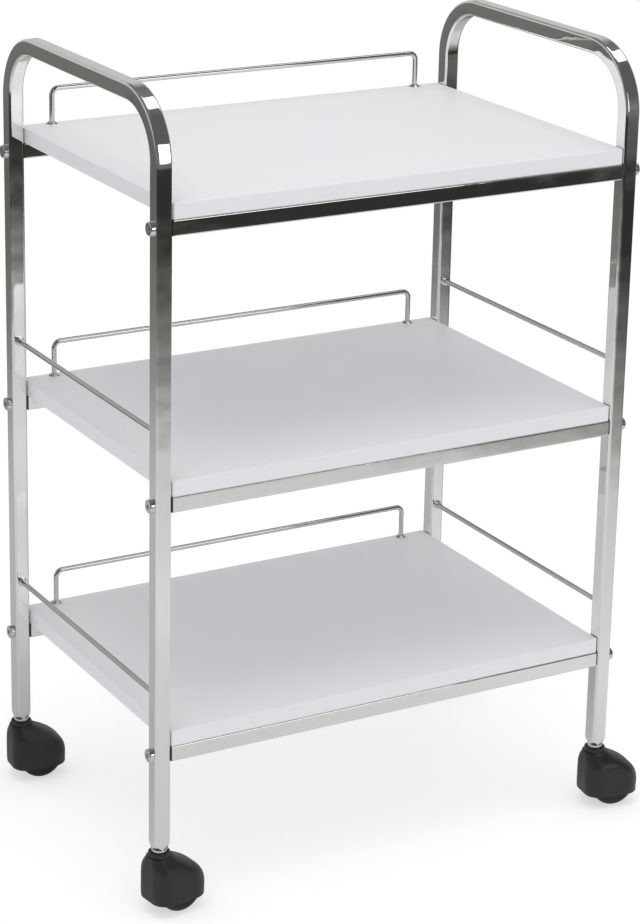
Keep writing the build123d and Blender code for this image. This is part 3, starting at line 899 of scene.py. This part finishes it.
def grayRamp(tree, factor, stops):
    # stops: position from 0 to 1, brightness, olive tint, which takes some green and more blue away
    ramp = addNode(tree, "ShaderNodeValToRGB")
    elements = ramp.color_ramp.elements
    while len(elements) < len(stops):
        elements.new(0.5)
    for element, (position, bright, tint) in zip(elements, stops):
        element.position = position
        element.color = (bright, bright * (1 - tint * 0.3), bright * (1 - tint * 2), 1)
    tree.links.new(factor, ramp.inputs["Fac"])
    return ramp.outputs["Color"]


def glowAndShade(tree, glow, shade, color=None):
    # part light of its own, part lit, so that shadows still show; both take the colour, if there is one
    own = addNode(tree, "ShaderNodeEmission")
    lit = addNode(tree, "ShaderNodeBsdfDiffuse")
    both = addNode(tree, "ShaderNodeAddShader")
    own.inputs["Color"].default_value = gray(1.0)
    own.inputs["Strength"].default_value = glow
    lit.inputs["Color"].default_value = gray(shade)
    if color is not None:
        dim = addNode(tree, "ShaderNodeVectorMath", operation="SCALE")
        dim.inputs["Scale"].default_value = shade
        tree.links.new(color, own.inputs["Color"])
        tree.links.new(color, dim.inputs[0])
        tree.links.new(dim.outputs["Vector"], lit.inputs["Color"])
    tree.links.new(own.outputs["Emission"], both.inputs[0])
    tree.links.new(lit.outputs["BSDF"], both.inputs[1])
    return both.outputs["Shader"]


def mixShaders(tree, factor, first, second):
    node = addNode(tree, "ShaderNodeMixShader")
    tree.links.new(factor, node.inputs["Fac"])
    tree.links.new(first, node.inputs[1])
    tree.links.new(second, node.inputs[2])
    return node.outputs["Shader"]


def buildFloor():
    # plain paper for light, near white to the eye, fading with distance in reflections
    t = studioSettings
    reach = t["paperReach"]
    corners = [(-reach, -reach, 0), (reach, -reach, 0), (reach, reach, 0), (-reach, reach, 0)]
    floor = linkObject("studioFloor", meshFrom("studioFloor", corners, faces=[(0, 1, 2, 3)]))
    material = bpy.data.materials.new("studioPaper")
    material.use_nodes = True
    tree = material.node_tree
    tree.nodes.clear()
    output = addNode(tree, "ShaderNodeOutputMaterial")
    paper = addNode(tree, "ShaderNodeBsdfDiffuse")
    white = addNode(tree, "ShaderNodeEmission")
    path = addNode(tree, "ShaderNodeLightPath")
    place = addNode(tree, "ShaderNodeTexCoord")
    split = addNode(tree, "ShaderNodeSeparateXYZ")
    distance = addNode(tree, "ShaderNodeVectorMath", operation="DISTANCE")
    paper.inputs["Color"].default_value = gray(t["paper"])
    distance.inputs[1].default_value = t["middle"]
    tree.links.new(place.outputs["Object"], distance.inputs[0])
    tree.links.new(place.outputs["Object"], split.inputs["Vector"])
    near = mapRange(tree, distance.outputs["Value"], 0.0, t["reflectionReach"])
    rearward = mapRange(tree, split.outputs["Y"], *t["floorTurn"])
    distant = mapRange(tree, distance.outputs["Value"], *t["paperFade"])
    halves = []
    for half in ("reflectedFloorFront", "reflectedFloorBack"):
        stops = [(radius / t["reflectionReach"], bright, tint) for radius, bright, tint in t[half]]
        halves.append(grayRamp(tree, near, stops))
    mirrored = glowAndShade(tree, t["mirrorGlow"], t["mirrorShade"], mixColor(tree, rearward, *halves))
    seen = glowAndShade(tree, t["paperGlow"], t["paperShade"])
    seen = mixShaders(tree, distant, seen, white.outputs["Emission"])
    direct = mixShaders(tree, path.outputs["Is Camera Ray"], paper.outputs["BSDF"], seen)
    surface = mixShaders(tree, path.outputs["Is Glossy Ray"], direct, mirrored)
    tree.links.new(surface, output.inputs["Surface"])
    floor.data.materials.append(material)


def addBackground(tree, color, strength=1.0):
    background = addNode(tree, "ShaderNodeBackground")
    background.inputs["Strength"].default_value = strength
    if isinstance(color, tuple):
        background.inputs["Color"].default_value = color
    else:
        tree.links.new(color, background.inputs["Color"])
    return background.outputs["Background"]


def buildWorld():
    # a white room for the eye, a dim one for reflections
    t = studioSettings
    world = bpy.data.worlds.new("studioRoom")
    bpy.context.scene.world = world
    world.use_nodes = True
    tree = world.node_tree
    tree.nodes.clear()
    output = addNode(tree, "ShaderNodeOutputWorld")
    place = addNode(tree, "ShaderNodeTexCoord")
    split = addNode(tree, "ShaderNodeSeparateXYZ")
    path = addNode(tree, "ShaderNodeLightPath")
    tree.links.new(place.outputs["Generated"], split.inputs["Vector"])
    front = grayRamp(tree, split.outputs["Z"], [(sine, bright, 0) for sine, bright in t["reflectedFront"]])
    back = grayRamp(tree, split.outputs["Z"], [(sine, bright, 0) for sine, bright in t["reflectedBack"]])
    rearward = mapRange(tree, split.outputs["Y"], *t["roomTurn"])
    high = mapRange(tree, split.outputs["Z"], *t["fillRise"])
    lighting = addBackground(tree, mixColor(tree, high, t["lowFill"], t["highFill"]), t["fillStrength"])
    mirrored = addBackground(tree, mixColor(tree, rearward, front, back))
    seen = addBackground(tree, gray(1.0))
    unseen = mixShaders(tree, path.outputs["Is Glossy Ray"], lighting, mirrored)
    surface = mixShaders(tree, path.outputs["Is Camera Ray"], unseen, seen)
    tree.links.new(surface, output.inputs["Surface"])


# place, what it faces, width and height in metres, watts; a panel is seen in the chrome or lights the room
panelSettings = {
    "overheadPanel": {"place": (1.10, 0.1, 3.0), "aim": (1.10, 0.1, 0), "size": (2.0, 1.0), "power": 9,
                      "mirrored": True},
    "softTop": {"place": (-0.2, -0.5, 3.2), "aim": (0, 0, 0.5), "size": (2.4, 2.0), "power": 24,
                "mirrored": False},
    "frontPanel": {"place": (1.13, -2.8, 1.2), "aim": (0, 0, 1.2), "size": (1.0, 1.4), "power": 7,
                   "mirrored": True},
    "softFront": {"place": (0.2, -3.2, 2.0), "aim": (0, 0, 0.4), "size": (1.6, 1.6), "power": 5,
                  "mirrored": False},
}


def addPanel(name, panel):
    data = bpy.data.lights.new(name, "AREA")
    data.shape = "RECTANGLE"
    data.size, data.size_y = panel["size"]
    data.energy = panel["power"]
    lamp = linkObject(name, data)
    lamp.location = panel["place"]
    direction = Vector(panel["aim"]) - Vector(panel["place"])
    lamp.rotation_euler = direction.to_track_quat("-Z", "Y").to_euler()
    lamp.visible_glossy = panel["mirrored"]
    lamp.visible_diffuse = not panel["mirrored"]


cameraSettings = {
    "sensorWidth": 36,             # millimetres, as the lens is
    "lens": 106.963,
    "shift": (0.0595, -0.1483),
    "reach": 100,                  # metres that it can see
    "place": (-1.2887, -2.2170, 1.2784),
    "turn": (72.974, -0.8, -28.542),   # degrees
}


def buildCamera():
    c = cameraSettings
    data = bpy.data.cameras.new("studioCamera")
    data.sensor_width = c["sensorWidth"]
    data.lens = c["lens"]
    data.shift_x, data.shift_y = c["shift"]
    data.clip_end = c["reach"]
    camera = linkObject("studioCamera", data)
    camera.location = c["place"]
    camera.rotation_euler = Euler([math.radians(angle) for angle in c["turn"]], "XYZ")
    bpy.context.scene.camera = camera


buildFloor()
buildWorld()
for name, panel in panelSettings.items():
    addPanel(name, panel)
buildCamera()
bpy.context.scene.view_settings.view_transform = "Standard"
print("studio lit")
